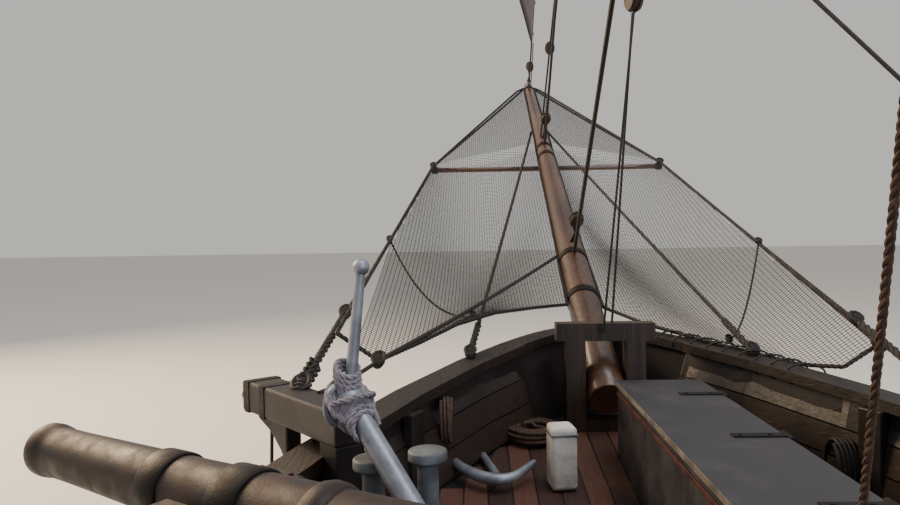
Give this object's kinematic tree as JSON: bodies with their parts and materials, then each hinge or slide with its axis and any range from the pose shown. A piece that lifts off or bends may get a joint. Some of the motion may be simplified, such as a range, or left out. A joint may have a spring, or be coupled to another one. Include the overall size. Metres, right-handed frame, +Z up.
{
  "type": "two-masted pirate ship tour boat",
  "caption": "Wooden two-masted pirate style tour ship with nets beside the bowsprit, guns, deckhouse and stern cabin.",
  "frame": {"origin": "on the waterline amidships, on the centre line", "axes": "+X towards the bow, +Y to port, +Z up"},
  "size_m": [24.4719, 6, 16.85],
  "materials": {
    "hull_paint": "tarred black paint on planks",
    "dark_oak": "weathered dark oak",
    "varnished_pine": "worn varnish",
    "bronze": "dull cast bronze",
    "tarred_net": "tarred netting",
    "silver_paint": "silver paint, scuffed",
    "grey_paint": "matt grey paint",
    "rusty_iron": "rusty brown iron",
    "tanned_canvas": "tanned dark canvas",
    "tarred_rope": "tarred rope",
    "gilt_iron": "worn gilding",
    "flag_cloth": "plain dark bunting"
  },
  "bodies": {
    "ship": {"hull": "hull_paint", "keel_and_stem": "hull_paint", "bulwark_port": "hull_paint", "bulwark_starboard": "hull_paint", "cap_rail_port": "dark_oak", "cap_rail_starboard": "dark_oak", "wale_port": "dark_oak", "wale_starboard": "dark_oak", "stern_cabin": "dark_oak", "quarterdeck_rail": "varnished_pine", "quarterdeck_ladder": "varnished_pine", "stern_tube": "bronze", "bowsprit": "varnished_pine", "bowsprit_bitts": "dark_oak", "net_spreader": "varnished_pine", "bow_net_port": "tarred_net", "bow_net_starboard": "tarred_net", "cathead_port": "dark_oak", "cathead_starboard": "dark_oak", "stowed_anchor": "silver_paint", "mooring_bitts_port": "grey_paint", "mooring_bitts_starboard": "grey_paint", "foredeck_locker": "grey_paint", "windlass_frame": "dark_oak", "foremast": "varnished_pine", "mainmast": "varnished_pine", "fore_top": "dark_oak", "main_top": "dark_oak", "stay_outer": "tarred_rope", "stay_middle": "tarred_rope", "stay_inner": "tarred_rope", "jib_outer": "tanned_canvas", "jib_inner": "tanned_canvas", "gun_carriage_port": "dark_oak", "gun_carriage_starboard": "dark_oak", "deckhouse": "varnished_pine", "cargo_hatch": "dark_oak", "wheel_stand": "dark_oak", "stern_lantern": "gilt_iron", "ensign": "flag_cloth", "bench_port": "varnished_pine", "bench_starboard": "varnished_pine"},
    "rudder": {"rudder": "hull_paint"},
    "propeller": {"propeller": "bronze"},
    "cabin_door": {"cabin_door": "varnished_pine"},
    "deckhouse_door": {"deckhouse_door": "dark_oak"},
    "locker_lid": {"locker_lid": "grey_paint"},
    "hatch_lid": {"hatch_lid": "varnished_pine"},
    "windlass": {"windlass_drum": "rusty_iron"},
    "steering_wheel": {"steering_wheel": "varnished_pine"},
    "gun_port": {"gun_barrel_port": "rusty_iron"},
    "gun_starboard": {"gun_barrel_starboard": "rusty_iron"},
    "fore_yard": {"fore_yard": "varnished_pine", "fore_course_furled": "tanned_canvas"},
    "topsail_yard": {"topsail_yard": "varnished_pine", "fore_topsail_furled": "tanned_canvas"},
    "mainsail": {"main_boom": "varnished_pine", "main_gaff": "varnished_pine", "main_sail": "tanned_canvas"}
  },
  "joints": [
    {"name": "wheel_turn", "type": "hinge", "parent": "ship", "child": "steering_wheel", "pos_m": [-5, 0, 4.0662], "axis": [1, 0, 0], "range_deg": [-280, 280]},
    {"name": "rudder_turn", "type": "hinge", "parent": "ship", "child": "rudder", "pos_m": [-7.85, 0, -1], "axis": [0, 0, 1], "range_deg": [-35, 35]},
    {"name": "propeller_spin", "type": "hinge", "parent": "ship", "child": "propeller", "pos_m": [-7.33, 0, -1.15], "axis": [1, 0, 0], "continuous": true},
    {"name": "cabin_door_hinge", "type": "hinge", "parent": "ship", "child": "cabin_door", "pos_m": [-3.601, 0.3076, 2], "axis": [0, 0, 1], "range_deg": [0, 105]},
    {"name": "deckhouse_door_hinge", "type": "hinge", "parent": "ship", "child": "deckhouse_door", "pos_m": [-1.499, 0.2876, 1.8], "axis": [0, 0, -1], "range_deg": [0, 105]},
    {"name": "locker_lid_hinge", "type": "hinge", "parent": "ship", "child": "locker_lid", "pos_m": [7.085, -0.43, 2.121], "axis": [1, 0, 0], "range_deg": [0, 100]},
    {"name": "hatch_lid_hinge", "type": "hinge", "parent": "ship", "child": "hatch_lid", "pos_m": [2.58, 0, 1.6067], "axis": [0, 1, 0], "range_deg": [0, 100]},
    {"name": "windlass_turn", "type": "hinge", "parent": "ship", "child": "windlass", "pos_m": [4.05, 0, 1.841], "axis": [0, 1, 0], "continuous": true},
    {"name": "gun_port_elevation", "type": "hinge", "parent": "ship", "child": "gun_port", "pos_m": [5.865, 1.206, 2.342], "axis": [0.8517, -0.524, 0], "range_deg": [-4, 12]},
    {"name": "gun_starboard_elevation", "type": "hinge", "parent": "ship", "child": "gun_starboard", "pos_m": [5.865, -1.206, 2.342], "axis": [-0.8517, -0.524, 0], "range_deg": [-4, 12]},
    {"name": "fore_yard_brace", "type": "hinge", "parent": "ship", "child": "fore_yard", "pos_m": [3.4, 0, 7.15], "axis": [0, 0, 1], "range_deg": [-30, 30]},
    {"name": "topsail_yard_brace", "type": "hinge", "parent": "ship", "child": "topsail_yard", "pos_m": [3.4, 0, 10.5], "axis": [0, 0, 1], "range_deg": [-30, 30]},
    {"name": "main_boom_swing", "type": "hinge", "parent": "ship", "child": "mainsail", "pos_m": [-2.4, 0, 5.45], "axis": [0, 0, 1], "range_deg": [-45, 45]}
  ],
  "couplings": [
    {"joint": "rudder_turn", "follows": "wheel_turn", "ratio": 0.125}
  ]
}
